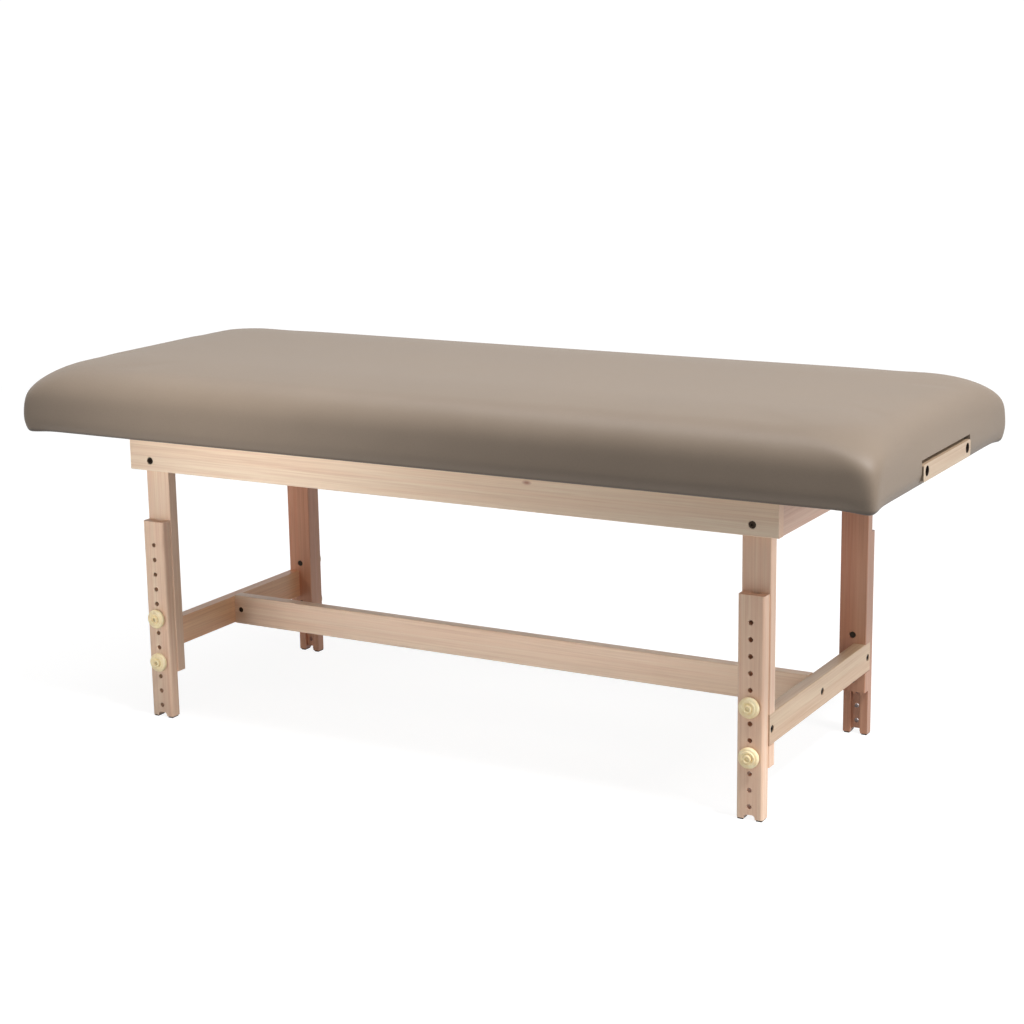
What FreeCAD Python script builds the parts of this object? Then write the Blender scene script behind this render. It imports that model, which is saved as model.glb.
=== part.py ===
"""Wooden massage table with a padded vinyl top and legs that adjust in height.

Sizes are in millimetres. +X runs along the table to the headrest end, -Y is the
front long side and +Z is up. The origin is on the floor, under the table's middle.
"""
import os
import math

import FreeCAD
import Part

V = FreeCAD.Vector

# Padded top
top_length = 1872.0
top_width = 757.0
pad_height = 137.0          # underside of the cover to the top, at the rolled edge
pad_crown = 5.0             # how much higher the middle stands
edge_roll_width = 66.0      # the rounded upper edge, measured inwards
edge_roll_height = 70.0     # the same edge, measured downwards
crown_width = 130.0         # plan distance from the rolled edge over which the crown rises
tuck_steps = 4              # sections of the pad's form: up from its underside,
roll_steps = 12             # round the rolled edge
crown_steps = 4             # and over the crown
side_tuck = 14.0            # how far the sides draw in at the bottom
tuck_height = 29.0          # above the underside, where the pad is widest
pad_corner_radius = 10.0    # plan corners up to the widest line,
top_corner_radius = 155.0   # and where the rolled edge meets the top
cover_thickness = 1.5
hem_share = 20.0 / 39.0     # of the deck's overhang past the long aprons, turned under it
foam_gap = 0.3              # between the foam and its cover
deck_thickness = 10.0

# Headrest rail at the +X end, let into the pad
rail_length = 270.0
rail_height = 32.0
rail_depth = 110.0
rail_proud = 1.0            # past the pad's widest line
rail_edge_radius = 6.0
rail_window_gap = 1.0       # between the rail and the cut in foam and cover
socket_diameter = 19.0
socket_spacing = 232.0
socket_rise = 18.0          # above the rail's underside
socket_depth = 100.0

# Frame
end_overhang = 211.0        # pad past the end of the frame
side_overhang = 93.5        # pad past the frame's long side
apron_thickness = 22.0
apron_height = 82.0
upper_leg_width = 57.0
upper_leg_thickness = 25.0
upper_leg_tail = 24.0       # below the lower clamp bolt
stretcher_thickness = 25.0
end_stretcher_height = 60.0
centre_stretcher_height = 64.0
wood_edge_radius = 2.0

# Lower legs
lower_leg_width = 52.0
lower_leg_thickness = 24.0
lower_leg_length = 424.0
leg_edge_radius = 5.0
hole_pitch = 31.75
hole_count = 12
first_hole_drop = 50.8      # first hole below the top of the leg
leg_hole_diameter = 9.5
upper_hole_index = 5        # hole that the upper clamp bolt is in, counted from 0
lower_hole_index = 8        # hole that the lower clamp bolt is in, counted from 0
steps_up = 3                # hole steps that a leg can be pushed up from here
leg_top_clearance = 12.75   # under the apron with the leg pushed right up
groove_width = 20.0
groove_depth = 8.0
key_length = 200.0
key_clearance = 0.3
foot_notch_width = 22.0
foot_notch_height = 8.0
foot_notch_radius = 6.0
foot_pad_thickness = 3.0
foot_pad_margin = 2.0       # foot pad inside the edge of its prong

# Clamp bolts, washers and knobs
bolt_diameter = 8.0
bolt_head_diameter = 12.0
bolt_head_height = 5.0
bolt_head_recess = 6.0
recess_clearance = 1.0      # around a bolt head, on the radius
seat_gap = 0.2              # between a washer and the leg's face
washer_diameter = 22.0
washer_thickness = 2.0
washer_clearance = 0.3      # around the bolt, on the radius
knob_diameter = 40.0
knob_height = 13.0
knob_rim_height = 8.0
knob_rim_radius = 4.0
knob_step_diameter = 29.0
knob_step_height = 10.0
knob_dish_diameter = 23.0
knob_dish_height = 7.0
knob_boss_diameter = 15.0
knob_recess_diameter = 10.0
knob_recess_depth = 2.5
knob_face_gap = 0.1         # between a knob and its washer
thread_clearance = 0.05     # between a knob's bore and its bolt, on the radius
bolt_end_drop = 1.0         # bolt end below the floor of the knob's recess

# Frame fasteners
apron_bolt_rise = 21.0      # above the apron's lower edge
apron_head_diameter = 13.0
apron_head_height = 5.0
apron_head_recess = 6.0
hex_key_width = 6.0         # across the flats of the socket in a frame bolt's head
hex_socket_depth = 3.0
nut_flange_diameter = 20.0
nut_flange_thickness = 1.5
nut_barrel_diameter = 10.0
nut_barrel_length = 12.0
leg_screw_diameter = 7.0
leg_screw_length = 45.0
centre_bolt_grip = 40.0     # bolt length inside the centre stretcher
barrel_nut_diameter = 12.0
barrel_nut_length = 22.0
barrel_nut_inset = 16.0     # barrel nut from the end of the centre stretcher
deck_screw_diameter = 4.5
deck_screw_length = 40.0
deck_screw_head_diameter = 9.0
deck_screw_head_height = 3.0
deck_screw_end = 120.0      # last deck screw from the end of the apron
deck_screw_pairs = 4
rail_screw_diameter = 5.0
rail_screw_length = 30.0
rail_screw_head_diameter = 10.0
rail_screw_head_height = 3.0
rail_screw_spacing = 150.0
rail_screw_share = 0.32     # of the deck's overhang past the frame, from the deck's edge

# Heights, built up from the floor
leg_bottom = foot_pad_thickness
leg_top = leg_bottom + lower_leg_length
hole_heights = [leg_top - first_hole_drop - i * hole_pitch for i in range(hole_count)]
clamp_heights = [hole_heights[upper_hole_index], hole_heights[lower_hole_index]]
stretcher_axis = sum(clamp_heights) / len(clamp_heights)
upper_leg_bottom = clamp_heights[-1] - upper_leg_tail
apron_bottom = leg_top + steps_up * hole_pitch + leg_top_clearance
deck_bottom = apron_bottom + apron_height
deck_top = deck_bottom + deck_thickness
pad_bottom = deck_bottom - cover_thickness
side_height = pad_height - edge_roll_height

# Plan positions, for the front right corner
frame_length = top_length - 2 * end_overhang
frame_width = top_width - 2 * side_overhang
apron_face = frame_width / 2
mate_face = apron_face - apron_thickness
leg_inner_face = mate_face - upper_leg_thickness
leg_outer_face = mate_face + lower_leg_thickness
leg_mid_depth = mate_face - upper_leg_thickness / 2
leg_end_face = frame_length / 2 - apron_thickness
leg_axis = leg_end_face - upper_leg_width / 2
stretcher_inner_face = leg_end_face - stretcher_thickness
deck_half_length = top_length / 2 - side_tuck - cover_thickness
deck_half_width = top_width / 2 - side_tuck - cover_thickness
cover_hem = (deck_half_width - apron_face) * hem_share
rail_face = top_length / 2 + rail_proud
rail_screw_setback = (deck_half_length - frame_length / 2) * rail_screw_share
rail_axis_height = deck_top + socket_rise

CORNERS = {
    "front_right": (1, 1),
    "front_left": (-1, 1),
    "rear_right": (1, -1),
    "rear_left": (-1, -1),
}
X_AXIS, Y_AXIS, Z_AXIS = V(1, 0, 0), V(0, 1, 0), V(0, 0, 1)


def box(x_span, y_span, z_span):
    """A block between two values on each axis."""
    low = V(min(x_span), min(y_span), min(z_span))
    size = V(max(x_span), max(y_span), max(z_span)) - low
    return Part.makeBox(size.x, size.y, size.z, low)


def rod(start, axis, diameter, length):
    """A round bar from start, along axis."""
    return Part.makeCylinder(diameter / 2, length, start, axis)


def eased(shape, axis, radius, keep=None):
    """The shape with its edges along axis rounded, or those of them that keep accepts."""
    edges = []
    for edge in shape.Edges:
        along = (edge.Vertexes[-1].Point - edge.Vertexes[0].Point).normalize()
        if abs(along.dot(axis)) > 0.999 and (keep is None or keep(edge.CenterOfMass)):
            edges.append(edge)
    return shape.makeFillet(radius, edges)


def to_corner(shape, corner):
    """A shape made at the front right corner, mirrored to one of the four corners."""
    side_x, side_y = CORNERS[corner]
    if side_x < 0:
        shape = shape.mirror(V(), X_AXIS)
    if side_y < 0:
        shape = shape.mirror(V(), Y_AXIS)
    return shape


def headed(start, axis, head, shank):
    """A fastener whose head and then shank lie along axis; each is (diameter, length)."""
    shank_start = start + axis * head[1]
    return rod(start, axis, *head).fuse(rod(shank_start, axis, *shank)).removeSplitter()


def keyed(bolt, start, axis):
    """A bolt with a hexagon socket in the head that starts at start."""
    across = axis.cross(Z_AXIS)
    radius = hex_key_width / math.sqrt(3)
    angles = [math.pi / 3 * side for side in range(7)]
    corners = [start + across * (radius * math.cos(a)) + Z_AXIS * (radius * math.sin(a))
               for a in angles]
    return bolt.cut(Part.Face(Part.makePolygon(corners)).extrude(axis * hex_socket_depth))


def all_corners(shape):
    """Four mirrored copies as one group of separate solids."""
    return Part.makeCompound([to_corner(shape, corner) for corner in CORNERS])


def cut_all(shape, tools):
    """The shape less every tool."""
    for tool in tools:
        shape = shape.cut(tool)
    return shape


# Padded top


def rounded_outline(half_length, half_width, radius, height):
    """A rounded rectangle of four lines and four arcs."""
    edges = []
    centres = [(1, -1), (1, 1), (-1, 1), (-1, -1)]
    turn = radius * (1 - math.sqrt(0.5))
    for i, (sx, sy) in enumerate(centres):
        corner = V(sx * half_length, sy * half_width, height)
        along_x, along_y = V(-sx * radius, 0, 0), V(0, -sy * radius, 0)
        middle = corner + V(-sx * turn, -sy * turn, 0)
        first, last = (along_x, along_y) if i % 2 == 0 else (along_y, along_x)
        edges.append(Part.Arc(corner + first, middle, corner + last).toShape())
        nx, ny = centres[(i + 1) % 4]
        next_corner = V(nx * half_length, ny * half_width, height)
        leave = V(0, -ny * radius, 0) if i % 2 == 0 else V(-nx * radius, 0, 0)
        edges.append(Part.makeLine(corner + last, next_corner + leave))
    return Part.Wire(edges)


def pad_body(skin, low):
    """The pad's form, drawn in by skin on every side, from a height low above its underside."""
    sections = []
    for step in range(tuck_steps + 1):
        rise = low + (tuck_height - low) * step / tuck_steps
        sections.append((side_tuck * (1 - rise / tuck_height) ** 2 + skin, rise))
    for step in range(roll_steps + 1):
        angle = math.pi / 2 * step / roll_steps
        inwards = (edge_roll_width - skin) * (1 - math.cos(angle))
        upwards = (edge_roll_height - skin) * math.sin(angle)
        sections.append((inwards + skin, side_height + upwards))
    edge_inset, edge_rise = sections[-1]
    for step in range(1, crown_steps + 1):
        share = step / crown_steps
        sections.append((edge_inset + crown_width * share,
                         edge_rise + pad_crown * math.sin(math.pi / 2 * share)))
    wires = []
    for inset, rise in sections:
        easing = max(0, min(rise, edge_rise) - tuck_height) / (edge_rise - tuck_height)
        radius = pad_corner_radius + (top_corner_radius - pad_corner_radius) * easing ** 2
        radius -= skin + max(0, inset - edge_inset)
        wires.append(rounded_outline(top_length / 2 - inset, top_width / 2 - inset,
                                     radius, pad_bottom + rise))
    return Part.makeLoft(wires, True, True)


def rail_space(gap):
    """The room that the headrest rail takes, out past the end of the pad."""
    half = rail_length / 2 + gap
    block = box((rail_face - rail_depth - gap, rail_face + rail_depth), (-half, half),
                (deck_top, deck_top + rail_height + gap))
    return eased(block, X_AXIS, rail_edge_radius + gap)


def deck_screw_places():
    """Deck screws stand over the middle of both long aprons."""
    span = frame_length / 2 - deck_screw_end
    places = []
    for i in range(deck_screw_pairs):
        x = -span + 2 * span * i / (deck_screw_pairs - 1)
        for side in (-1, 1):
            places.append((x, side * (apron_face - apron_thickness / 2)))
    return places


def deck_screws():
    head = (deck_screw_head_diameter, deck_screw_head_height)
    shank = (deck_screw_diameter, deck_screw_length - deck_screw_head_height)
    screws = [headed(V(x, y, deck_top), -Z_AXIS, head, shank) for x, y in deck_screw_places()]
    return Part.makeCompound(screws)


def rail_screws():
    head = (rail_screw_head_diameter, rail_screw_head_height)
    shank = (rail_screw_diameter, rail_screw_length - rail_screw_head_height)
    x = deck_half_length - rail_screw_setback
    screws = []
    for side in (-1, 1):
        start = V(x, side * rail_screw_spacing / 2, deck_bottom - rail_screw_head_height)
        screws.append(headed(start, Z_AXIS, head, shank))
    return Part.makeCompound(screws)


def deck_panel():
    deck = box((-deck_half_length, deck_half_length), (-deck_half_width, deck_half_width),
               (deck_bottom, deck_top))
    deck = eased(deck, Z_AXIS, pad_corner_radius)
    return cut_all(deck, [deck_screws(), rail_screws()])


def foam_block():
    foam = pad_body(cover_thickness + foam_gap, deck_top - pad_bottom)
    return foam.cut(rail_space(rail_window_gap))


def vinyl_cover():
    """A closed skin over the foam and round the deck's edge, with a hem underneath."""
    skin = pad_body(0.0, 0.0).cut(pad_body(cover_thickness, cover_thickness))
    half_length = deck_half_length - cover_hem
    half_width = deck_half_width - cover_hem
    opening = box((-half_length, half_length), (-half_width, half_width),
                  (pad_bottom - cover_thickness, deck_bottom))
    return skin.cut(opening).cut(rail_space(rail_window_gap))


def headrest_rail():
    half = rail_length / 2
    block = box((rail_face - rail_depth, rail_face), (-half, half),
                (deck_top, deck_top + rail_height))
    block = eased(block, X_AXIS, rail_edge_radius)
    sockets = []
    for side in (-1, 1):
        mouth = V(rail_face, side * socket_spacing / 2, rail_axis_height)
        sockets.append(rod(mouth, -X_AXIS, socket_diameter, socket_depth))
    return cut_all(block, sockets + [rail_screws()])


# Frame


def apron_bolt():
    """Through the front apron and the upper leg, at the front right corner."""
    start = V(leg_axis, -(apron_face - apron_head_recess + apron_head_height),
              apron_bottom + apron_bolt_rise)
    length = apron_thickness + upper_leg_thickness - apron_head_recess + nut_flange_thickness
    bolt = headed(start, Y_AXIS, (apron_head_diameter, apron_head_height),
                  (bolt_diameter, length))
    return keyed(bolt, start, Y_AXIS)


def apron_nut():
    """A flanged nut on the upper leg's inner face."""
    start = V(leg_axis, -leg_inner_face + nut_flange_thickness, apron_bottom + apron_bolt_rise)
    nut = headed(start, -Y_AXIS, (nut_flange_diameter, nut_flange_thickness),
                 (nut_barrel_diameter, nut_barrel_length))
    return nut.cut(apron_bolt())


def long_apron(side):
    half = frame_length / 2
    board = box((-half, half), (side * apron_face, side * mate_face),
                (apron_bottom, deck_bottom))
    board = eased(board, X_AXIS, wood_edge_radius, lambda c: c.z < deck_bottom - wood_edge_radius)
    for end in (-1, 1):
        start = V(end * leg_axis, side * apron_face, apron_bottom + apron_bolt_rise)
        recess = rod(start, V(0, -side, 0), apron_head_diameter + 2 * recess_clearance,
                     apron_head_recess)
        shank = rod(start, V(0, -side, 0), bolt_diameter, apron_thickness)
        board = cut_all(board, [recess, shank])
    return board.cut(deck_screws())


def end_apron(side):
    board = box((side * leg_end_face, side * frame_length / 2), (-mate_face, mate_face),
                (apron_bottom, deck_bottom))
    return eased(board, Y_AXIS, wood_edge_radius, lambda c: c.z < deck_bottom - wood_edge_radius)


def end_stretcher_space(side):
    """An end stretcher's board, lapped into the legs at both ends."""
    half = end_stretcher_height / 2
    return box((side * stretcher_inner_face, side * leg_end_face), (-mate_face, mate_face),
               (stretcher_axis - half, stretcher_axis + half))


def stretcher_head(side, y):
    """Start of a bolt's head in an end stretcher's outer face."""
    return V(side * (leg_end_face - apron_head_recess + apron_head_height), y, stretcher_axis)


def leg_screw(side, y):
    start, inwards = stretcher_head(side, y), V(-side, 0, 0)
    screw = headed(start, inwards, (apron_head_diameter, apron_head_height),
                   (leg_screw_diameter, leg_screw_length))
    return keyed(screw, start, inwards)


def centre_bolt(side):
    length = stretcher_thickness - apron_head_recess + centre_bolt_grip
    start, inwards = stretcher_head(side, 0), V(-side, 0, 0)
    bolt = headed(start, inwards, (apron_head_diameter, apron_head_height),
                  (bolt_diameter, length))
    return keyed(bolt, start, inwards)


def barrel_nut(side):
    x = side * (stretcher_inner_face - barrel_nut_inset)
    nut = rod(V(x, -barrel_nut_length / 2, stretcher_axis), Y_AXIS, barrel_nut_diameter,
              barrel_nut_length)
    return nut.cut(centre_bolt(side))


def end_stretcher(side):
    board = eased(end_stretcher_space(side), Y_AXIS, wood_edge_radius,
                  lambda c: abs(c.x) > stretcher_inner_face + stretcher_thickness / 2)
    bolts = [leg_screw(side, -leg_mid_depth), leg_screw(side, leg_mid_depth), centre_bolt(side)]
    for y in (-leg_mid_depth, 0, leg_mid_depth):
        mouth = V(side * leg_end_face, y, stretcher_axis)
        bolts.append(rod(mouth, V(-side, 0, 0), apron_head_diameter + 2 * recess_clearance,
                         apron_head_recess))
    return cut_all(board, bolts)


def centre_stretcher():
    half = centre_stretcher_height / 2
    board = box((-stretcher_inner_face, stretcher_inner_face),
                (-stretcher_thickness / 2, stretcher_thickness / 2),
                (stretcher_axis - half, stretcher_axis + half))
    board = eased(board, X_AXIS, wood_edge_radius)
    tools = []
    for side in (-1, 1):
        tools.append(centre_bolt(side))
        x = side * (stretcher_inner_face - barrel_nut_inset)
        tools.append(rod(V(x, -stretcher_thickness, stretcher_axis), Y_AXIS,
                         barrel_nut_diameter, stretcher_thickness + barrel_nut_length / 2))
    return cut_all(board, tools)


def upper_leg():
    """The fixed part of the front right leg, in the frame's inside corner."""
    leg = box((leg_end_face - upper_leg_width, leg_end_face), (-mate_face, -leg_inner_face),
              (upper_leg_bottom, deck_bottom))
    leg = eased(leg, Z_AXIS, wood_edge_radius)
    tools = [end_stretcher_space(1), leg_screw(1, -leg_mid_depth), apron_bolt(), apron_nut()]
    for height in clamp_heights:
        start = V(leg_axis, -leg_inner_face, height)
        tools.append(rod(start, -Y_AXIS, bolt_head_diameter + 2 * recess_clearance,
                         bolt_head_recess))
        tools.append(rod(start, -Y_AXIS, bolt_diameter, upper_leg_thickness))
    return cut_all(leg, tools)


def leg_key():
    """A strip on the upper leg that runs in the lower leg's groove."""
    half = groove_width / 2 - key_clearance
    key = box((leg_axis - half, leg_axis + half),
              (-mate_face, -(mate_face + groove_depth - key_clearance)),
              (upper_leg_bottom, upper_leg_bottom + key_length))
    holes = [rod(V(leg_axis, -mate_face, z), -Y_AXIS, bolt_diameter, groove_depth)
             for z in clamp_heights]
    return cut_all(key, holes)


# Lower legs and their clamps


def lower_leg():
    half = lower_leg_width / 2
    leg = box((leg_axis - half, leg_axis + half), (-leg_outer_face, -mate_face),
              (leg_bottom, leg_top))
    leg = eased(leg, Z_AXIS, leg_edge_radius, lambda c: -c.y > mate_face + lower_leg_thickness / 2)
    groove = box((leg_axis - groove_width / 2, leg_axis + groove_width / 2),
                 (-mate_face, -(mate_face + groove_depth)), (leg_bottom, leg_top))
    notch = box((leg_axis - foot_notch_width / 2, leg_axis + foot_notch_width / 2),
                (-leg_outer_face, -mate_face),
                (leg_bottom - foot_notch_height, leg_bottom + foot_notch_height))
    notch = eased(notch, Y_AXIS, foot_notch_radius)
    holes = [rod(V(leg_axis, -mate_face, z), -Y_AXIS, leg_hole_diameter, lower_leg_thickness)
             for z in hole_heights]
    return cut_all(leg, [groove, notch] + holes)


def foot_pads():
    """Two pads under the prongs of the foot."""
    pads = []
    inner = foot_notch_width / 2 + foot_pad_margin
    outer = lower_leg_width / 2 - foot_pad_margin
    for side in (-1, 1):
        pads.append(box((leg_axis + side * inner, leg_axis + side * outer),
                        (-(leg_outer_face - foot_pad_margin), -(mate_face + foot_pad_margin)),
                        (0, foot_pad_thickness)))
    return Part.makeCompound(pads)


washer_face = leg_outer_face + seat_gap
knob_face = washer_face + washer_thickness + knob_face_gap
bolt_end = knob_face + knob_height - knob_recess_depth - bolt_end_drop


def clamp_bolt(height):
    start = V(leg_axis, -(leg_inner_face + bolt_head_recess - bolt_head_height), height)
    length = bolt_end - leg_inner_face - bolt_head_recess
    return headed(start, -Y_AXIS, (bolt_head_diameter, bolt_head_height),
                  (bolt_diameter, length))


def washer(height):
    start = V(leg_axis, -washer_face, height)
    ring = rod(start, -Y_AXIS, washer_diameter, washer_thickness)
    return ring.cut(rod(start, -Y_AXIS, bolt_diameter + 2 * washer_clearance, washer_thickness))


def knob(height):
    """A turned knob: a rounded rim, a step, a dished ring and a boss round the bolt's end."""
    bore = bolt_diameter / 2 + thread_clearance
    rim = knob_diameter / 2
    corner = knob_rim_radius * (1 - math.sqrt(0.5))

    def at(radius, rise):
        return V(leg_axis + radius, -(knob_face + rise), height)

    arc = Part.Arc(at(rim, knob_rim_height - knob_rim_radius),
                   at(rim - corner, knob_rim_height - corner),
                   at(rim - knob_rim_radius, knob_rim_height)).toShape()
    recess_floor = knob_height - knob_recess_depth
    points = [at(rim - knob_rim_radius, knob_rim_height),
              at(knob_step_diameter / 2, knob_rim_height),
              at(knob_step_diameter / 2, knob_step_height),
              at(knob_dish_diameter / 2, knob_step_height),
              at(knob_boss_diameter / 2, knob_dish_height),
              at(knob_boss_diameter / 2, knob_height),
              at(knob_recess_diameter / 2, knob_height),
              at(knob_recess_diameter / 2, recess_floor),
              at(bore, recess_floor),
              at(bore, 0),
              at(rim, 0),
              at(rim, knob_rim_height - knob_rim_radius)]
    lines = [Part.makeLine(a, b) for a, b in zip(points, points[1:])]
    profile = Part.Face(Part.Wire([arc] + lines))
    return profile.revolve(V(leg_axis, 0, height), Y_AXIS, 360)


# The nodes

nodes = {
    "deck_panel": deck_panel(),
    "foam_block": foam_block(),
    "vinyl_cover": vinyl_cover(),
    "headrest_rail": headrest_rail(),
    "headrest_rail_screws": rail_screws(),
    "deck_screws": deck_screws(),
    "front_apron": long_apron(-1),
    "rear_apron": long_apron(1),
    "left_end_apron": end_apron(-1),
    "right_end_apron": end_apron(1),
    "apron_bolts": all_corners(apron_bolt()),
    "apron_nuts": all_corners(apron_nut()),
    "left_end_stretcher": end_stretcher(-1),
    "right_end_stretcher": end_stretcher(1),
    "centre_stretcher": centre_stretcher(),
    "stretcher_leg_screws": Part.makeCompound(
        [leg_screw(side, y) for side in (-1, 1) for y in (-leg_mid_depth, leg_mid_depth)]),
    "centre_stretcher_bolts": Part.makeCompound([centre_bolt(-1), centre_bolt(1)]),
    "barrel_nuts": Part.makeCompound([barrel_nut(-1), barrel_nut(1)]),
    "leg_keys": all_corners(leg_key()),
    "clamp_bolts": Part.makeCompound(
        [to_corner(clamp_bolt(z), corner) for corner in CORNERS for z in clamp_heights]),
}
for corner_name in CORNERS:
    nodes[corner_name + "_upper_leg"] = to_corner(upper_leg(), corner_name)
    nodes[corner_name + "_lower_leg"] = to_corner(lower_leg(), corner_name)
    nodes[corner_name + "_foot_pads"] = to_corner(foot_pads(), corner_name)
    for level, bolt_height in zip(("upper", "lower"), clamp_heights):
        nodes[f"{corner_name}_{level}_washer"] = to_corner(washer(bolt_height), corner_name)
        nodes[f"{corner_name}_{level}_knob"] = to_corner(knob(bolt_height), corner_name)

os.makedirs("parts", exist_ok=True)
for node_name, node_shape in nodes.items():
    node_shape.exportStep(f"parts/{node_name}.step")
    valid = "valid" if node_shape.isValid() else "NOT VALID"
    print(f"{node_name:28s} {len(node_shape.Solids):2d} solids {node_shape.Volume:14.1f} mm3 {valid}")
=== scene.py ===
"""Looks of the massage table: vinyl pad, lacquered wood, cream knobs, light and camera.

Everything is in metres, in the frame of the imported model: +X to the headrest end,
-Y to the front long side, +Z up, the floor at zero.
"""

import math

import bmesh
import bpy
from mathutils import Matrix, Vector


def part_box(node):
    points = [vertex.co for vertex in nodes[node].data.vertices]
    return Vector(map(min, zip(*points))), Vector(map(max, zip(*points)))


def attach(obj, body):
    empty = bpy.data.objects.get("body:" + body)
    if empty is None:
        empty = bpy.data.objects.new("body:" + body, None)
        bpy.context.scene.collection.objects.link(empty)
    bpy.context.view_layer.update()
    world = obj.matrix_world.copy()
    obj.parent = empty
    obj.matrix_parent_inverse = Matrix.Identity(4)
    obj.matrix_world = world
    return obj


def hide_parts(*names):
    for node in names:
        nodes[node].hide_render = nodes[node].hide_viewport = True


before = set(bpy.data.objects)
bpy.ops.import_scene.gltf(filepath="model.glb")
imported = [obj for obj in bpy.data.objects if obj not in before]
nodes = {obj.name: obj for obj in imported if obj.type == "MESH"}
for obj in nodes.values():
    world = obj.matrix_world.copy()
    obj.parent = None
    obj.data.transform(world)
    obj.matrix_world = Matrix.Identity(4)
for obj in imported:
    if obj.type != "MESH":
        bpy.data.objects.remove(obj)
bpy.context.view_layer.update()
scene = bpy.context.scene
CORNERS = ("front_right", "front_left", "rear_right", "rear_left")
QUARTER_TURN = math.pi / 2
SMOOTH_ANGLE = math.radians(50)      # edges that turn by less are shaded smooth
STRAIGHT = 0.999                     # how much of an edge along an axis runs that way
FACING = 0.9                         # how far a face looks up or down to count as doing so
FLAT = 0.9999                        # and to count as flat

# Padded top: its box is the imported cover's
cover_low, cover_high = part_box("vinyl_cover")
PAD_SPARE = 0.002                    # what smoothing takes off the corners
PAD_HALF_LENGTH = PAD_SPARE - cover_low.x
PAD_HALF_WIDTH = PAD_SPARE - cover_low.y
PAD_BOTTOM = cover_low.z
PAD_CROWN = 0.005                    # rise from the end of the roll to the middle of the top
CROWN_WIDTH = 0.130
SWELL_LIMIT = 0.003                  # the most that the filling moves the cover
PAD_TOP = cover_high.z - PAD_CROWN - SWELL_LIMIT
ROLL_WIDTH = 0.074
ROLL_HEIGHT = 0.064
SIDE_TUCK = 0.014                    # how far the sides draw in below their widest line
TUCK_HEIGHT = 0.029                  # height of that line above the hem
HEM = 0.040                          # width of the vinyl that is turned under
# The darker line along the lower edge is painted shadow of the tucked hem
HEM_SHADOW = 0.009                     # height of the darker line along the lower edge
COVER_THICKNESS = 0.0015
# Faces of its shell: their size along the sides, and the rings in each stretch
PAD_CELL = 0.016
LONG_EDGE = 4 * PAD_CELL             # longer edges are divided into cells
BAND_CUTS = 2
ROLL_RINGS = 8
CROWN_RINGS = 6
TUCK_RINGS = 4
HEM_RINGS = 4
# Its corners
LOW_CORNER = 0.006                   # radius in plan at the widest line
TOP_CORNER = 0.118                   # and where the roll meets the top
CORNER_SPREAD = 2.2                  # length of side that feeds a corner's arc, in radii
PUCKER_REACH = 0.070                 # how far the gathered vinyl of a lower corner reaches
PUCKER_DROP = 0.007                  # how far it hangs below the hem
PUCKER_SHARE = 0.6                   # and how much of the tuck it fills
# Its ends, which draw in between their corners
END_DRAW = 0.005                     # how far, where it is most
DRAW_MIDDLE = 0.15                   # half of the width that draws in fully
DRAW_MARGIN = 0.03                   # what keeps its place beside each corner
DRAW_LOW = 0.045                     # height above the hem where it starts
DRAW_FULL = 0.080                    # and where it is most
DRAW_DEPTH = (0.045, 0.015)          # inside the end: where it starts and where it is full
# Its filling, as cloth under pressure
HELD_BELOW = 0.002                   # height above the hem up to which the cloth is held
FREE_ABOVE = 0.010                   # and from which it is free
CLOTH_FRAMES = 20
CLOTH = {"quality": 6, "mass": 0.4, "tension_stiffness": 40, "compression_stiffness": 40,
         "bending_stiffness": 6, "use_pressure": True, "uniform_pressure_force": 4}
# Its window for the headrest rail
WINDOW_TOP_GAP = 0.008               # between the rail and the edge of the vinyl, above
WINDOW_END_GAP = 0.003               # and at its ends
WINDOW_FOLD = 0.025                  # how far the edges fold in

# Marks on the wood and steel, and the painted shade in the rail's holes
BOLT_TIP_LENGTH = 0.012              # bright outer end of each bolt
BOLT_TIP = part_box("clamp_bolts")[1].y - BOLT_TIP_LENGTH
# The rail's holes are painted near black, as shade inside them
BORES = (0.116, 0.645, 0.0098)       # half their distance, their height, and past their edge
KNOT = (0.218, -0.285, 0.591)        # on the front apron, just under the pad
KNOT_SIZE = (0.012, 0.004, 0.005)
KNOT_SHARE = 0.75                    # how much of its colour the middle of the knot has

# Knobs
KNOB_RADIUS = 0.020
KNOB_RIM = 0.008
KNOB_FRONT = 0.9 * KNOB_RIM          # only the front edge lies above this height
KNOB_ROUND = 0.0038
KNOB_ROUND_STEPS = 6
KNOB_BORE = 0.00405
KNOB_SIDES = 72
KNOB_EDGE = 0.0006                   # width that is taken off the edges of the face
KNOB_EDGE_ANGLE = math.radians(35)
# Radius and height of each edge from the rim in to the bore
KNOB_PROFILE = [(0.0145, 0.0080), (0.0142, 0.0100), (0.0115, 0.0100), (0.0077, 0.0070),
                (0.0075, 0.0130), (0.0052, 0.0130), (0.0050, 0.0105), (KNOB_BORE, 0.0105)]

# Stage and camera
WHITE = (1, 1, 1, 1)
FLOOR_SIZE = 8
FLOOR_GREY = (0.40, 0.40, 0.40, 1)   # what the floor throws back on the table
FLOOR_GLOW = 1.82
FLOOR_GLOW_SHARE = 0.5               # the rest takes the shadow
WORLD_FILL = 0.16                    # light from all around
WORLD_SEEN = 1.05                    # and the background itself, where it is seen
CAMERA_PLACE = (2.12726, -3.73221, 1.43334)
CAMERA_YAW = math.radians(29.39)
CAMERA_PITCH = math.radians(12.84)
CAMERA_ROLL = math.radians(-0.90)
CAMERA_REACH = 200.0
FOCAL_PIXELS = 2151.67
FRAME_PIXELS = 1024
SENSOR_WIDTH = 36.0                  # in millimetres, as the lens is


# Shader arithmetic


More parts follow.
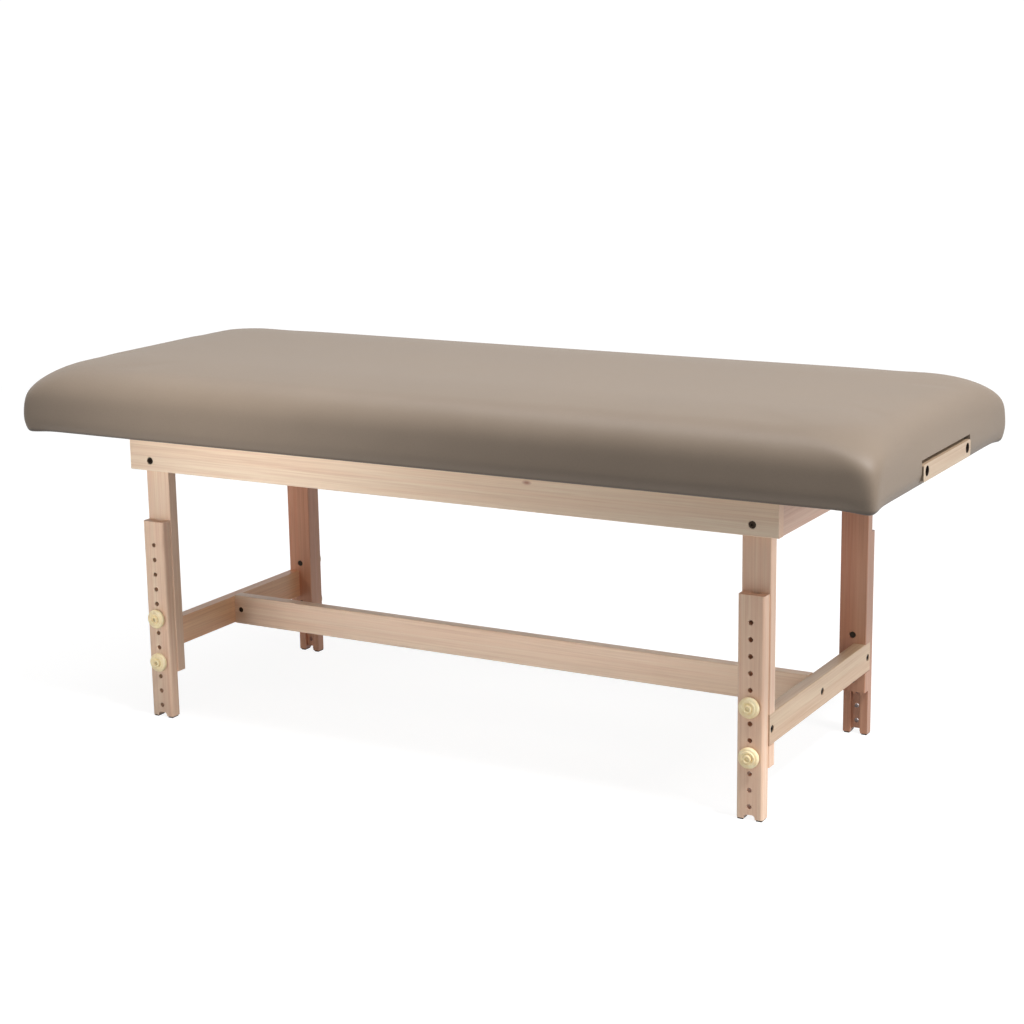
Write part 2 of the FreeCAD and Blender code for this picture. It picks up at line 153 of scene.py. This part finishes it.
class Value:
    """A socket in a shading, which takes part in Python sums."""

    def __init__(self, shading, socket):
        self.shading = shading
        self.socket = socket

    def __add__(self, other):
        return self.shading.calc("ADD", self, other)

    def __sub__(self, other):
        return self.shading.calc("SUBTRACT", self, other)

    def __rsub__(self, other):
        return self.shading.calc("SUBTRACT", other, self)

    def __mul__(self, other):
        return self.shading.calc("MULTIPLY", self, other)

    __radd__ = __add__
    __rmul__ = __mul__


class Shading:
    """The nodes of a material or of the world."""

    def __init__(self, tree):
        self.tree = tree

    def set(self, socket, value):
        """Gives a socket a value or a link."""
        if isinstance(value, Value):
            self.tree.links.new(value.socket, socket)
        else:
            socket.default_value = value

    def node(self, kind, settings=None, inputs=None, output=0):
        """Makes one node: its settings first, then its sockets."""
        made = self.tree.nodes.new(kind)
        for name, value in (settings or {}).items():
            if name == "stops":
                ramp = made.color_ramp
                while len(ramp.elements) < len(value):
                    ramp.elements.new(0.5)
                for element, (place, shade) in zip(ramp.elements, value):
                    element.position = place
                    element.color = shade
            else:
                setattr(made, name, value)
        for name, value in (inputs or {}).items():
            self.set(made.inputs[name], value)
        return Value(self, made.outputs[output])

    def calc(self, operation, first, second=0.0):
        """One sum on numbers; an operation on one number needs no second."""
        return self.node("ShaderNodeMath", {"operation": operation}, {0: first, 1: second})

    def seen(self):
        """1 where the background itself shows: straight on, in gloss or through glass."""
        share = 0.0
        for ray in ("Is Camera Ray", "Is Glossy Ray", "Is Transmission Ray"):
            share = self.calc("MAXIMUM", share, self.node("ShaderNodeLightPath", output=ray))
        return share


class Finish(Shading):
    """A material built from nodes, with its Principled shader."""

    def __init__(self, name, **constants):
        self.material = bpy.data.materials.new(name)
        self.material.use_nodes = True
        super().__init__(self.material.node_tree)
        self.shader = self.tree.nodes["Principled BSDF"]
        self.feed(**constants)

    def feed(self, **values):
        """Values or links into the shader, by socket name."""
        for socket, value in values.items():
            self.set(self.shader.inputs[socket.replace("_", " ")], value)
        return self.material

    def coords(self, scale=(1, 1, 1)):
        """Places on the piece, in metres times scale."""
        place = self.node("ShaderNodeTexCoord", output="Object")
        return self.node("ShaderNodeMapping", inputs={"Vector": place, "Scale": scale})

    def axis(self, vector, index):
        """One part of a vector: 0, 1 or 2 for X, Y or Z."""
        return self.node("ShaderNodeSeparateXYZ", inputs={"Vector": vector}, output=index)

    def noise(self, coords, scale, detail=2.0, roughness=0.5, distortion=0.0):
        return self.node("ShaderNodeTexNoise", inputs={
            "Vector": coords, "Scale": scale, "Detail": detail, "Roughness": roughness,
            "Distortion": distortion})

    def ramp(self, value, stops):
        """Grey from value: stops are (place, brightness)."""
        grey = [(place, (level, level, level, 1)) for place, level in stops]
        return self.node("ShaderNodeValToRGB", {"stops": grey}, {"Fac": value})

    def mix(self, share, first, second):
        """Two colours, by share."""
        return self.node("ShaderNodeMix", {"data_type": "RGBA"}, {0: share, 6: first, 7: second},
                         output=2)

    def bump(self, height, strength, distance):
        return self.node("ShaderNodeBump", inputs={"Height": height, "Strength": strength,
                                                   "Distance": distance})


def colour(red, green, blue):
    """A colour given in screen values, 0 to 255, as the shader's linear one."""

    def linear(level):
        share = level / 255
        return share / 12.92 if share <= 0.04045 else ((share + 0.055) / 1.055) ** 2.4

    return (linear(red), linear(green), linear(blue), 1.0)


# Finishes


def end_grain(wood, grain):
    """1 on the sawn ends of a board, 0 along it."""
    facing = wood.node("ShaderNodeTexCoord", output="Normal")
    across = wood.axis(facing, "XYZ".index(grain))
    return wood.ramp(across * across, [(0.55, 0.0), (0.85, 1.0)])


def knot(wood):
    """The knot's share in the wood: most in its middle, none at its edge."""
    from_centre = wood.node("ShaderNodeVectorMath", {"operation": "SUBTRACT"},
                            {0: wood.coords(), 1: KNOT})
    drawn = wood.node("ShaderNodeVectorMath", {"operation": "DIVIDE"},
                      {0: from_centre, 1: KNOT_SIZE})
    far = wood.node("ShaderNodeVectorMath", {"operation": "LENGTH"}, {0: drawn}, output="Value")
    return wood.ramp(far, [(0.25, 1.0), (1.0, 0.0)]) * KNOT_SHARE


def bore_shade(wood):
    """1 inside the two holes of the headrest rail, which are painted dark as shade."""
    spread, height, radius = BORES
    place = wood.coords()
    across = wood.calc("ABSOLUTE", wood.axis(place, 1)) - spread
    above = wood.axis(place, 2) - height
    return wood.calc("LESS_THAN", across * across + above * above, radius * radius)


def lacquered_wood(name, grain, tones, mark_and_shade=None, end_tone_and_shade=None):
    """Hardwood with its grain along one axis, under satin lacquer.

    tones are the board's pale, warm and dark colours. The mark gives the share and the
    colour of one more thing on the board: a real knot, or the painted shade inside the
    rail's holes. The sawn colour is that of its ends, where they are darker than its grain;
    on the rail it is near black, painted shade of the gap round them.
    """
    wood = Finish(name, Coat_Roughness=0.3, Specular_IOR_Level=0.4)
    pale, warm, dark = (colour(*tone) for tone in tones)

    def stretched(along_grain, across_grain):
        return wood.coords(tuple(along_grain if axis == grain else across_grain for axis in "XYZ"))

    board = wood.noise(stretched(0.35, 5.0), 2.2, detail=1.0)
    figure = wood.noise(stretched(0.8, 26.0), 2.0, detail=3.0, roughness=0.55, distortion=0.6)
    streak = wood.noise(stretched(1.6, 120.0), 2.5, detail=3.0, roughness=0.6, distortion=0.3)
    pore = wood.noise(stretched(14.0, 900.0), 1.0, detail=2.0, roughness=0.7)
    tone = wood.ramp(board * 0.45 + figure * 0.55, [(0.36, 0.0), (0.66, 1.0)])
    lines = wood.ramp(streak, [(0.42, 0.0), (0.75, 1.0)])
    pores = wood.ramp(pore, [(0.60, 0.0), (0.78, 1.0)])
    base = wood.mix(tone, pale, warm)
    base = wood.mix(lines * 0.38, base, dark)
    base = wood.mix(pores * 0.22, base, dark)
    # The ends darken as end grain does; the rail's near-black ends are painted shade of the gap in
    # the cover
    base = wood.mix(end_grain(wood, grain) * 0.6, base, end_tone_and_shade or dark)
    # One more mark: a real knot, or the painted shade inside the rail's holes
    if mark_and_shade:
        share, tint = mark_and_shade
        base = wood.mix(share(wood), base, tint)
    height = wood.bump(1 - pores * 0.7 - lines * 0.3, strength=0.25, distance=0.0004)
    return wood.feed(Base_Color=base, Roughness=0.40 + lines * 0.12 + pores * 0.1,
                     Coat_Weight=0.22 - pores * 0.15, Normal=height)


def pad_vinyl():
    """Smooth taupe upholstery vinyl with a fine pressed grain and a painted shadow along its lower
    edge.
    """
    vinyl = Finish("pad_vinyl", Specular_IOR_Level=0.4)
    place = vinyl.coords()
    drift = vinyl.noise(place, 3.0, detail=2.0)
    cloud = vinyl.noise(place, 14.0, detail=3.0)
    grain = vinyl.node("ShaderNodeTexVoronoi", {"feature": "DISTANCE_TO_EDGE"},
                       {"Vector": place, "Scale": 620.0, "Randomness": 1.0})
    fine = vinyl.noise(place, 1500.0, detail=2.0, roughness=0.6)
    creases = vinyl.ramp(grain, [(0.0, 0.0), (0.16, 1.0)])
    tone = vinyl.ramp(drift * 0.6 + cloud * 0.4, [(0.35, 0.0), (0.65, 1.0)])
    base = vinyl.mix(tone, colour(123, 109, 95), colour(128, 114, 100))
    base = vinyl.mix((1 - creases) * 0.18, base, colour(88, 77, 66))
    # Painted shadow: the vinyl darkens over its lowest few millimetres, as the tucked hem in shade
    hem_shadow = vinyl.node("ShaderNodeMapRange", {"interpolation_type": "SMOOTHSTEP"}, {
        "Value": vinyl.axis(place, 2), "From Min": PAD_BOTTOM, "From Max": PAD_BOTTOM + HEM_SHADOW,
        "To Min": 0.8, "To Max": 0.0})
    base = vinyl.mix(hem_shadow, base, colour(52, 44, 37))
    height = vinyl.bump(creases * 0.7 + fine * 0.3, strength=0.22, distance=0.0003)
    return vinyl.feed(Base_Color=base, Roughness=0.52 + tone * 0.05 - creases * 0.04,
                      Normal=height)


def knob_plastic():
    """Cream moulded plastic, faintly mottled."""
    cream = Finish("knob_plastic", Specular_IOR_Level=0.45, Subsurface_Weight=0.08,
                   Subsurface_Radius=(0.004, 0.003, 0.0015))
    place = cream.coords()
    mottle = cream.noise(place, 90.0, detail=3.0)
    fine = cream.noise(place, 900.0, detail=2.0)
    base = cream.mix(cream.ramp(mottle, [(0.35, 0.0), (0.7, 1.0)]),
                     colour(255, 240, 200), colour(244, 220, 172))
    return cream.feed(Base_Color=base, Roughness=0.34 + mottle * 0.14,
                      Normal=cream.bump(fine, strength=0.08, distance=0.0002))


def plated_steel(name, tip=None):
    """Dark plated steel of the bolts, nuts and washers; tip is the colour of a bolt's outer end."""
    steel = Finish(name, Metallic=1.0)
    place = steel.coords()
    stain = steel.noise(place, 160.0, detail=3.0)
    brushed = steel.noise(steel.coords((300, 300, 2400)), 1.0, detail=2.0)
    base = steel.mix(stain, colour(40, 33, 27), colour(64, 54, 45))
    if tip:
        out = steel.calc("ABSOLUTE", steel.axis(place, 1))
        base = steel.mix(steel.calc("GREATER_THAN", out, BOLT_TIP), base, tip)
    return steel.feed(Base_Color=base, Roughness=0.34 + stain * 0.2,
                      Normal=steel.bump(brushed, strength=0.1, distance=0.0001))


def foot_rubber():
    """Dark dusty rubber of the foot pads."""
    rubber = Finish("foot_rubber", Specular_IOR_Level=0.3)
    dust = rubber.noise(rubber.coords(), 220.0, detail=3.0)
    base = rubber.mix(dust, colour(34, 30, 27), colour(66, 59, 53))
    return rubber.feed(Base_Color=base, Roughness=0.72 + dust * 0.15,
                       Normal=rubber.bump(dust, strength=0.2, distance=0.0003))


# Boards differ, as the photograph shows them: pale, warm and dark tones of each.
# Some are one wood made darker or paler as painted shade and light: the rear legs,
# the end aprons, the end stretchers and the headrest rail.
APRON_WOOD = lacquered_wood(
    "apron_wood", "X", [(246, 226, 201), (236, 204, 177), (196, 150, 119)],
    mark_and_shade=(knot, colour(150, 84, 62)))
CENTRE_WOOD = lacquered_wood(
    "centre_stretcher_wood", "X", [(242, 219, 194), (235, 199, 171), (196, 152, 121)])
# Painted shade: the end aprons are this wood set darker than the long aprons, to tone down the
# strong light on the ends
END_APRON_SHADED_WOOD = lacquered_wood(
    "end_apron_wood_painted_shade", "Y", [(210, 178, 157), (200, 157, 135), (164, 118, 93)])
# Painted shade: the right end stretcher is set darker for the same light
RIGHT_STRETCHER_SHADED_WOOD = lacquered_wood(
    "right_stretcher_wood_painted_shade", "Y", [(204, 180, 150), (196, 162, 132), (158, 114, 86)])
# Painted shade: the rail is set darker than the rest of the wood, with near-black holes and ends as
# shade
SHADED_SOCKET_WOOD = lacquered_wood(
    "headrest_rail_wood_painted_shade", "Y", [(180, 161, 136), (169, 143, 118), (138, 102, 78)],
    mark_and_shade=(bore_shade, colour(30, 21, 15)), end_tone_and_shade=colour(34, 23, 16))
LEG_WOOD = lacquered_wood(
    "leg_wood", "Z", [(238, 213, 187), (230, 190, 163), (194, 142, 113)])
# Painted shade: the rear legs are the leg wood made darker and redder, as the shade under the table
# shows it; the rear left one less so
SHADED_LEG_WOOD = lacquered_wood(
    "leg_wood_painted_shade", "Z", [(182, 136, 109), (168, 113, 87), (134, 84, 62)])
HALF_SHADED_LEG_WOOD = lacquered_wood(
    "leg_wood_painted_half_shade", "Z", [(222, 168, 136), (208, 142, 110), (168, 106, 79)])
# Painted light and shade: the left end stretcher, in the pad's shade, is set paler, and redder as
# that shade looks
LEFT_STRETCHER_LIT_WOOD = lacquered_wood(
    "left_stretcher_wood_painted_light", "Y", [(250, 206, 166), (240, 182, 140), (190, 124, 88)])
DECK = lacquered_wood(
    "deck_plywood", "X", [(206, 178, 140), (190, 156, 116), (150, 112, 76)])
VINYL, CREAM, RUBBER = pad_vinyl(), knob_plastic(), foot_rubber()
STEEL = plated_steel("dark_steel")
BOLT_STEEL = plated_steel("bolt_steel", tip=colour(190, 174, 136))

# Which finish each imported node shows: steel where none is named
finish_of = {"deck_panel": DECK, "headrest_rail": SHADED_SOCKET_WOOD, "front_apron": APRON_WOOD,
             "rear_apron": APRON_WOOD, "left_end_apron": END_APRON_SHADED_WOOD, "right_end_apron": END_APRON_SHADED_WOOD,
             "left_end_stretcher": LEFT_STRETCHER_LIT_WOOD, "right_end_stretcher": RIGHT_STRETCHER_SHADED_WOOD,
             "centre_stretcher": CENTRE_WOOD, "leg_keys": LEG_WOOD, "clamp_bolts": BOLT_STEEL}
# The rear legs take the darker copies of the leg wood: painted shade
for corner, finish in zip(CORNERS, (LEG_WOOD, LEG_WOOD, SHADED_LEG_WOOD, HALF_SHADED_LEG_WOOD)):
    finish_of[corner + "_upper_leg"] = finish
    finish_of[corner + "_lower_leg"] = finish
    finish_of[corner + "_foot_pads"] = RUBBER
for name, node in nodes.items():
    node.data.materials.clear()
    node.data.materials.append(finish_of.get(name, STEEL))


# Modelling helpers


def only(piece):
    """Leaves one object selected and active."""
    bpy.ops.object.select_all(action="DESELECT")
    piece.select_set(True)
    bpy.context.view_layer.objects.active = piece


def start(name, primitive, **sizes):
    """A new primitive, alone in the selection."""
    bpy.ops.object.select_all(action="DESELECT")
    primitive(**sizes)
    piece = bpy.context.object
    piece.name = name
    return piece


def select_faces(piece, wanted):
    """In edit mode, selects the faces that wanted accepts."""
    bpy.ops.mesh.select_all(action="DESELECT")
    bpy.ops.mesh.select_mode(type="FACE")
    mesh = bmesh.from_edit_mesh(piece.data)
    for face in mesh.faces:
        face.select = bool(wanted(face))
    mesh.select_flush_mode()
    bmesh.update_edit_mesh(piece.data)


def select_edges(piece, wanted):
    """In edit mode, selects the edges that wanted accepts."""
    bpy.ops.mesh.select_all(action="DESELECT")
    bpy.ops.mesh.select_mode(type="EDGE")
    mesh = bmesh.from_edit_mesh(piece.data)
    for edge in mesh.edges:
        edge.select = bool(wanted(edge))
    bmesh.update_edit_mesh(piece.data)


def inset_rings(rings):
    """Insets the selected faces ring after ring, each given by how far it is in and out."""
    reached = (0.0, 0.0)
    for inwards, outwards in rings:
        bpy.ops.mesh.inset(thickness=inwards - reached[0], depth=outwards - reached[1])
        reached = (inwards, outwards)


def apply_modifier(piece, kind, **settings):
    """Adds a modifier, sets it up and applies it."""
    only(piece)
    modifier = piece.modifiers.new(kind.lower(), kind)
    for name, value in settings.items():
        setattr(modifier, name, value)
    bpy.ops.object.modifier_apply(modifier=modifier.name)


def dress(piece, material, body):
    """Gives a new piece its finish and the body that it moves with."""
    piece.data.materials.clear()
    piece.data.materials.append(material)
    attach(piece, body)


# Padded top


def along(edge, axis):
    """True for an edge that runs along one axis."""
    span = edge.verts[1].co - edge.verts[0].co
    return abs(span[axis]) > STRAIGHT * span.length


def shares(count):
    """Equal steps from the first of count up to 1."""
    return [step / count for step in range(1, count + 1)]


def pad_form():
    """The pad's shell: a band at its widest line, inset up to the crown and down to the hem."""
    side_top = PAD_TOP - ROLL_HEIGHT
    widest = PAD_BOTTOM + TUCK_HEIGHT
    pad = start("pad", bpy.ops.mesh.primitive_cube_add, size=1,
                location=(0, 0, (side_top + widest) / 2),
                scale=(2 * PAD_HALF_LENGTH, 2 * PAD_HALF_WIDTH, side_top - widest))
    bpy.ops.object.transform_apply(location=True, rotation=True, scale=True)
    bpy.ops.object.mode_set(mode="EDIT")
    select_edges(pad, lambda edge: along(edge, 2))
    bpy.ops.mesh.subdivide(number_cuts=BAND_CUTS)

    select_faces(pad, lambda face: face.normal.z > FACING)
    roll = [(ROLL_WIDTH * (1 - math.cos(QUARTER_TURN * share)),
             ROLL_HEIGHT * math.sin(QUARTER_TURN * share)) for share in shares(ROLL_RINGS)]
    crown = [(ROLL_WIDTH + CROWN_WIDTH * share,
              ROLL_HEIGHT + PAD_CROWN * math.sin(QUARTER_TURN * share))
             for share in shares(CROWN_RINGS)]
    inset_rings(roll + crown)

    select_faces(pad, lambda face: face.normal.z < -FACING)
    tuck = [(SIDE_TUCK * share ** 2, TUCK_HEIGHT * share) for share in shares(TUCK_RINGS)]
    hem = [(SIDE_TUCK + HEM * share, TUCK_HEIGHT) for share in shares(HEM_RINGS)]
    cut_edge = [(SIDE_TUCK + HEM + COVER_THICKNESS, TUCK_HEIGHT - COVER_THICKNESS)]
    inset_rings(tuck + hem + cut_edge)
    bpy.ops.mesh.delete(type="FACE")

    for axis, half in ((0, PAD_HALF_LENGTH), (1, PAD_HALF_WIDTH)):
        select_edges(pad, lambda edge: along(edge, axis) and edge.calc_length() > LONG_EDGE)
        bpy.ops.mesh.subdivide(number_cuts=round(2 * half / PAD_CELL) - 1)
    bpy.ops.object.mode_set(mode="OBJECT")
    return pad


def eased(low, high, value):
    """0 below low, 1 above high and a smooth rise between."""
    share = min(1.0, max(0.0, (value - low) / (high - low)))
    return share * share * (3 - 2 * share)


def weigh(piece, name, weight):
    """A vertex group with a weight worked out from each point's place."""
    group = piece.vertex_groups.new(name=name)
    for vertex in piece.data.vertices:
        group.add([vertex.index], weight(vertex.co), "REPLACE")
    return group.name


def side_gaps(place):
    """How far a point lies inside the pad's nearer end and its nearer long side."""
    return (PAD_HALF_LENGTH - abs(place.x), PAD_HALF_WIDTH - abs(place.y))


def corner_radius(inset, height):
    """The pad's corner radius in plan: small at the widest line, wide at the top."""
    widest = PAD_BOTTOM + TUCK_HEIGHT
    share = min(1.0, max(0.0, (height - widest) / (PAD_TOP - widest)))
    return LOW_CORNER + (TOP_CORNER - LOW_CORNER) * share ** 2 - max(0.0, inset - ROLL_WIDTH)


def round_corners(pad):
    """Draws the mitred rings of the pad round their corners, as the cover is pulled."""
    half_corner = QUARTER_TURN / 2
    for vertex in pad.data.vertices:
        gaps = side_gaps(vertex.co)
        inset = min(gaps)
        radius = corner_radius(inset, vertex.co.z)
        spread = CORNER_SPREAD * radius
        past = max(gaps) - inset
        if past >= spread:
            continue
        arc = half_corner * radius
        run = past * (arc + spread - radius) / spread
        turn = max(0.0, half_corner - run / radius)
        across = inset + radius * (1 - math.cos(turn))
        onwards = inset + radius * (1 - math.sin(turn)) + max(0.0, run - arc)
        gap_x, gap_y = (across, onwards) if gaps[0] <= gaps[1] else (onwards, across)
        vertex.co.x = math.copysign(PAD_HALF_LENGTH - gap_x, vertex.co.x)
        vertex.co.y = math.copysign(PAD_HALF_WIDTH - gap_y, vertex.co.y)


def pucker_corners(pad):
    """Gathers the vinyl under each corner: it hangs lower there and is tucked in less."""
    for vertex in pad.data.vertices:
        gaps = side_gaps(vertex.co)
        low = (PAD_BOTTOM + TUCK_HEIGHT - vertex.co.z) / TUCK_HEIGHT
        near = max(0.0, low) * (1 - eased(0, PUCKER_REACH, math.hypot(*gaps)))
        if near > 0:
            fill = PUCKER_SHARE * near * min(min(gaps), SIDE_TUCK)
            vertex.co.x += math.copysign(fill, vertex.co.x)
            vertex.co.y += math.copysign(fill, vertex.co.y)
            vertex.co.z -= PUCKER_DROP * near


def end_draw(place):
    """1 half way up the middle of an end, 0 at the corners, the top and the hem."""
    across = 1 - eased(DRAW_MIDDLE, PAD_HALF_WIDTH - DRAW_MARGIN, abs(place.y))
    low, middle = PAD_BOTTOM + DRAW_LOW, PAD_BOTTOM + DRAW_FULL
    height = eased(low, middle, place.z) * (1 - eased(middle, PAD_TOP, place.z))
    inner, outer = (PAD_HALF_LENGTH - depth for depth in DRAW_DEPTH)
    return across * height * eased(inner, outer, abs(place.x))


def held(place):
    """1 at the hem, where the cloth is fixed, and 0 above it."""
    return 1 - eased(PAD_BOTTOM + HELD_BELOW, PAD_BOTTOM + FREE_ABOVE, place.z)


def swell(pad):
    """Blows the cover up a little against its hem, as the foam does."""
    flat = [vertex.co.copy() for vertex in pad.data.vertices]
    group = weigh(pad, "held", held)
    only(pad)
    cloth = pad.modifiers.new("cloth", "CLOTH")
    for name, value in CLOTH.items():
        setattr(cloth.settings, name, value)
    cloth.settings.vertex_group_mass = group
    cloth.settings.effector_weights.gravity = 0
    cloth.point_cache.frame_start = 1
    cloth.point_cache.frame_end = CLOTH_FRAMES
    for step in range(1, CLOTH_FRAMES + 1):
        scene.frame_set(step)
    bpy.ops.object.modifier_apply(modifier=cloth.name)
    scene.frame_set(1)
    for vertex, rest in zip(pad.data.vertices, flat):
        shift = vertex.co - rest
        if shift.length > SWELL_LIMIT:
            vertex.co = rest + shift.normalized() * SWELL_LIMIT


def open_window(pad):
    """Cuts the end of the cover round the headrest rail and folds the edges in."""
    low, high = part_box("headrest_rail")
    low = low - Vector((0, WINDOW_END_GAP, 0))
    high = high + Vector((0, WINDOW_END_GAP, WINDOW_TOP_GAP))

    def at_end(place):
        return place.x > PAD_HALF_LENGTH - ROLL_WIDTH and place.z < PAD_TOP - ROLL_HEIGHT / 2

    def inside(place):
        return at_end(place) and low.y < place.y < high.y and low.z < place.z < high.z

    bpy.ops.object.mode_set(mode="EDIT")
    for place, normal in (((0, low.y, 0), (0, 1, 0)), ((0, high.y, 0), (0, 1, 0)),
                          ((0, 0, low.z), (0, 0, 1)), ((0, 0, high.z), (0, 0, 1))):
        select_faces(pad, lambda face: at_end(face.calc_center_median()))
        bpy.ops.mesh.bisect(plane_co=place, plane_no=normal)
    select_faces(pad, lambda face: inside(face.calc_center_median()))
    bpy.ops.mesh.extrude_region_move(TRANSFORM_OT_translate={"value": (-WINDOW_FOLD, 0, 0)})
    bpy.ops.mesh.delete(type="FACE")
    bpy.ops.object.mode_set(mode="OBJECT")


def make_pad():
    """The padded top: formed, smoothed, filled, drawn in at its ends and cut for the rail."""
    pad = pad_form()
    round_corners(pad)
    pucker_corners(pad)
    apply_modifier(pad, "SMOOTH", factor=0.5, iterations=2)
    swell(pad)
    group = weigh(pad, "end_draw", end_draw)
    apply_modifier(pad, "DISPLACE", strength=-END_DRAW, mid_level=0.0, vertex_group=group)
    pad.vertex_groups.clear()
    apply_modifier(pad, "SUBSURF", levels=1, render_levels=1)
    only(pad)
    open_window(pad)
    bpy.ops.object.shade_smooth_by_angle(angle=SMOOTH_ANGLE)
    dress(pad, VINYL, "frame")
    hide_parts("vinyl_cover", "foam_block")


# Turned knobs


def make_knob():
    """A turned cream knob at the origin, its face up: rim, step, dished ring and boss."""
    knob = start("knob", bpy.ops.mesh.primitive_cylinder_add, vertices=KNOB_SIDES,
                 radius=KNOB_RADIUS, depth=KNOB_RIM, location=(0, 0, KNOB_RIM / 2))
    bpy.ops.object.transform_apply(location=True, rotation=True, scale=True)
    bpy.ops.object.mode_set(mode="EDIT")
    select_edges(knob, lambda edge: min(v.co.z for v in edge.verts) > KNOB_FRONT)
    bpy.ops.mesh.bevel(offset=KNOB_ROUND, segments=KNOB_ROUND_STEPS, affect="EDGES")
    select_faces(knob, lambda face: face.normal.z > FLAT)
    inset_rings([(KNOB_RADIUS - KNOB_ROUND - radius, height - KNOB_RIM)
                 for radius, height in KNOB_PROFILE])
    bpy.ops.mesh.delete(type="FACE")
    select_faces(knob, lambda face: face.normal.z < -FLAT)
    bpy.ops.mesh.inset(thickness=KNOB_RADIUS - KNOB_BORE)
    bpy.ops.mesh.delete(type="FACE")
    select_edges(knob, lambda edge: edge.is_boundary)
    bpy.ops.mesh.bridge_edge_loops()
    bpy.ops.object.mode_set(mode="OBJECT")
    apply_modifier(knob, "BEVEL", width=KNOB_EDGE, segments=2, limit_method="ANGLE",
                   angle_limit=KNOB_EDGE_ANGLE)
    only(knob)
    bpy.ops.object.shade_smooth_by_angle(angle=SMOOTH_ANGLE)
    return knob


def place_knobs():
    """Copies the knob to each of its eight bolts, its back on the washer."""
    pattern = make_knob()
    for corner in CORNERS:
        for level in ("upper", "lower"):
            node = f"{corner}_{level}_knob"
            low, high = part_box(node)
            middle = (low + high) / 2
            outwards = 1 if middle.y > 0 else -1
            knob = pattern.copy()
            knob.data = pattern.data.copy()
            knob.name = f"{corner}_{level}_turned_knob"
            scene.collection.objects.link(knob)
            seat = low.y if outwards > 0 else high.y
            turn = Matrix.Rotation(-QUARTER_TURN * outwards, 4, "X")
            knob.data.transform(Matrix.Translation((middle.x, seat, middle.z)) @ turn)
            dress(knob, CREAM, node)
            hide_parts(node)
    bpy.data.objects.remove(pattern)


# Stage


def make_stage():
    """A pale floor that shows white and keeps a part of the shadow."""
    floor = start("floor", bpy.ops.mesh.primitive_plane_add, size=FLOOR_SIZE, location=(0, 0, 0))
    white = Finish("floor_white", Roughness=1.0, Specular_IOR_Level=0.0, Base_Color=FLOOR_GREY)
    glow = white.node("ShaderNodeEmission", inputs={"Color": WHITE, "Strength": FLOOR_GLOW})
    both = white.node("ShaderNodeMixShader", inputs={
        0: white.seen() * FLOOR_GLOW_SHARE, 1: Value(white, white.shader.outputs["BSDF"]), 2: glow})
    white.set(white.tree.nodes["Material Output"].inputs["Surface"], both)
    floor.data.materials.append(white.material)


def soft_light(name, place, aim, size, power, spread=180, sheen=False):
    """A lamp with a flat face; spread is in degrees, and sheen lets it show in gloss."""
    lamp = bpy.data.lights.new(name, "AREA")
    lamp.shape = "RECTANGLE"
    lamp.size, lamp.size_y = size
    lamp.energy = power
    lamp.spread = math.radians(spread)
    light = bpy.data.objects.new(name, lamp)
    scene.collection.objects.link(light)
    light.visible_camera = False
    light.visible_glossy = sheen      # a low light would glare on the vinyl
    light.location = place
    light.rotation_euler = (Vector(aim) - Vector(place)).to_track_quat("-Z", "Y").to_euler()


def make_world():
    """A little light from all around, and a white background."""
    world = bpy.data.worlds.new("studio")
    scene.world = world
    world.use_nodes = True
    studio = Shading(world.node_tree)
    strength = studio.node("ShaderNodeMapRange", inputs={
        "Value": studio.seen(), "To Min": WORLD_FILL, "To Max": WORLD_SEEN})
    backdrop = world.node_tree.nodes["Background"]
    studio.set(backdrop.inputs["Color"], WHITE)
    studio.set(backdrop.inputs["Strength"], strength)


def make_camera():
    """The photograph's place, aim and lens, for a square frame."""
    ahead = Vector((-math.sin(CAMERA_YAW) * math.cos(CAMERA_PITCH),
                    math.cos(CAMERA_YAW) * math.cos(CAMERA_PITCH), -math.sin(CAMERA_PITCH)))
    level = Vector((math.cos(CAMERA_YAW), math.sin(CAMERA_YAW), 0))
    above = level.cross(ahead)
    right = level * math.cos(CAMERA_ROLL) + above * math.sin(CAMERA_ROLL)
    up = above * math.cos(CAMERA_ROLL) - level * math.sin(CAMERA_ROLL)
    data = bpy.data.cameras.new("camera")
    data.sensor_width = SENSOR_WIDTH
    data.lens = SENSOR_WIDTH * FOCAL_PIXELS / FRAME_PIXELS
    data.clip_end = CAMERA_REACH
    camera = bpy.data.objects.new("camera", data)
    scene.collection.objects.link(camera)
    turn = Matrix((right, up, -ahead)).transposed().to_4x4()
    camera.matrix_world = Matrix.Translation(CAMERA_PLACE) @ turn
    scene.camera = camera


make_camera()
make_pad()
place_knobs()
make_stage()
make_world()
soft_light("overhead", (-0.5, -0.45, 3.6), aim=(-0.2, 0, 0.7), size=(3.0, 0.6), power=53, sheen=True)
soft_light("high_right", (4.2, -1.2, 7.0), aim=(0.3, 0, 0.7), size=(1.6, 0.8), power=580, sheen=True)
soft_light("right_end", (2.7, -0.35, 1.2), aim=(0.8, -0.1, 0.7), size=(1.0, 0.8), power=24)
soft_light("front_left", (-1.1, -1.75, 0.85), aim=(-0.42, -0.37, 0.75), size=(0.25, 0.25), power=1.4,
           spread=46)
soft_light("front_fill", (-0.6, -4.4, 1.1), aim=(0, 0, 0.4), size=(1.8, 1.2), power=8)
soft_light("low_front", (-0.3, -3.2, 0.2), aim=(-0.1, -0.3, 0.22), size=(1.4, 0.2), power=0.55,
           spread=15)
scene.view_settings.view_transform = "Standard"
